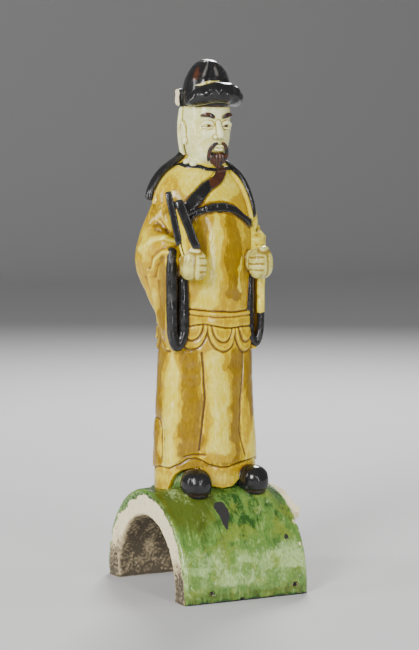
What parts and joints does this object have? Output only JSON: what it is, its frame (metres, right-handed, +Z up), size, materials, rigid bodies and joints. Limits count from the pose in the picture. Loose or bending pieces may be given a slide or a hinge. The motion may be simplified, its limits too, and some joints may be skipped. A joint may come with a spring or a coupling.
{
  "type": "roof ridge figure",
  "caption": "Glazed earthenware roof ridge ornament: a robed official holding a folded book, standing on a half-round ridge tile.",
  "frame": {"origin": "middle of the bounding box, on the plane that the two long edges of the tile rest on", "axes": "+Z up along the figure; -Y the way the figure faces; X along the ridge, with the tongue that slips under the next tile towards +X"},
  "size_m": [0.1344, 0.16, 0.463],
  "materials": {
    "glazed_earthenware": null
  },
  "bodies": {
    "root": {"roof_ridge_figure": "glazed_earthenware"}
  },
  "joints": []
}
